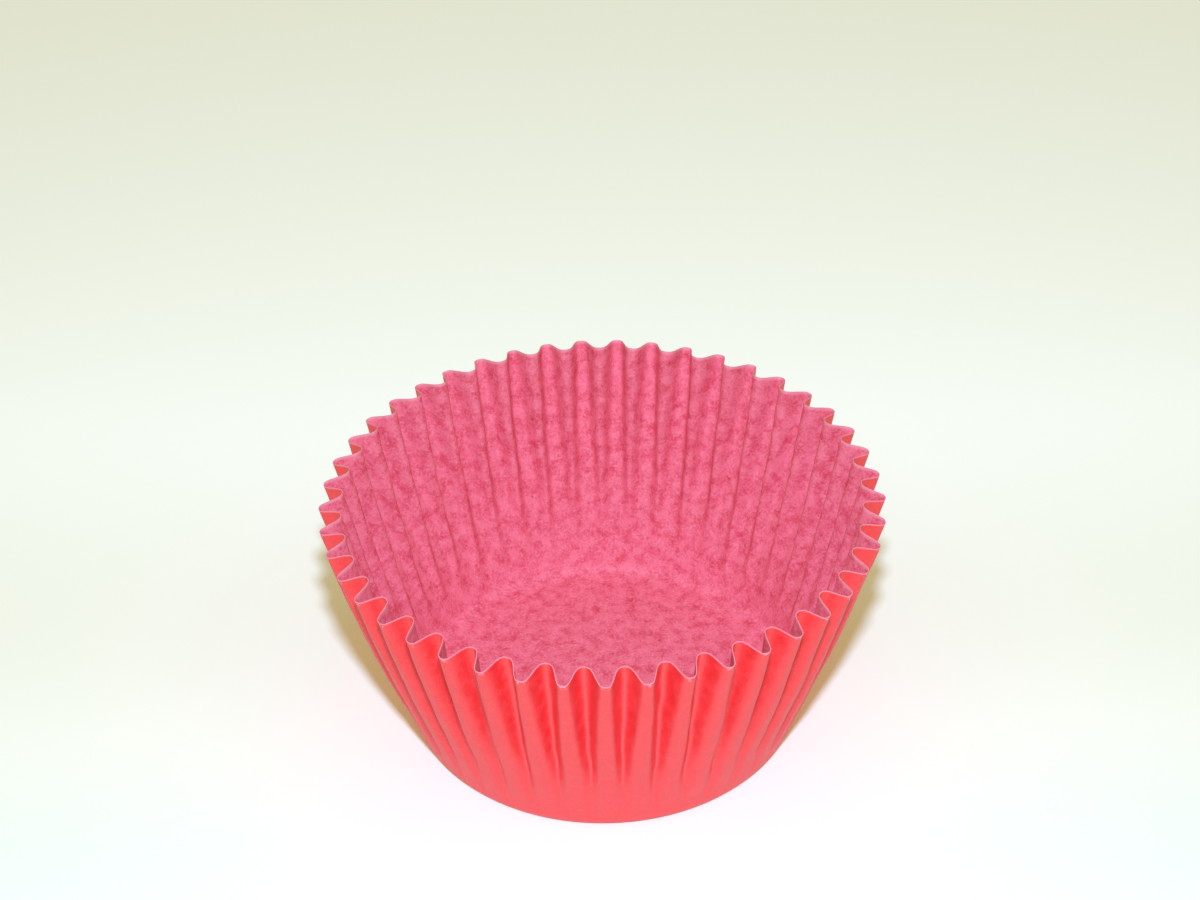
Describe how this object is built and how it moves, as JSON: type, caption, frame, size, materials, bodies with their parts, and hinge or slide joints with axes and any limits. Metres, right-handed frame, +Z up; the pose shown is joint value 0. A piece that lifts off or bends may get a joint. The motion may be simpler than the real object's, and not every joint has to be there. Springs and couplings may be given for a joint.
{
  "type": "cupcake liner",
  "caption": "Fluted paper baking cup: a flat round base with a flared, pleated wall and a zigzag rim, open at the top.",
  "frame": {"origin": "centre of the underside of the flat base, on the surface that the liner stands on", "axes": "+Z up along the cup's axis, out of its mouth; a ridge of the pleats faces -Y"},
  "size_m": [0.072, 0.0719, 0.0333],
  "materials": {
    "red_paper": "matte"
  },
  "bodies": {
    "root": {"liner": "red_paper"}
  },
  "joints": []
}
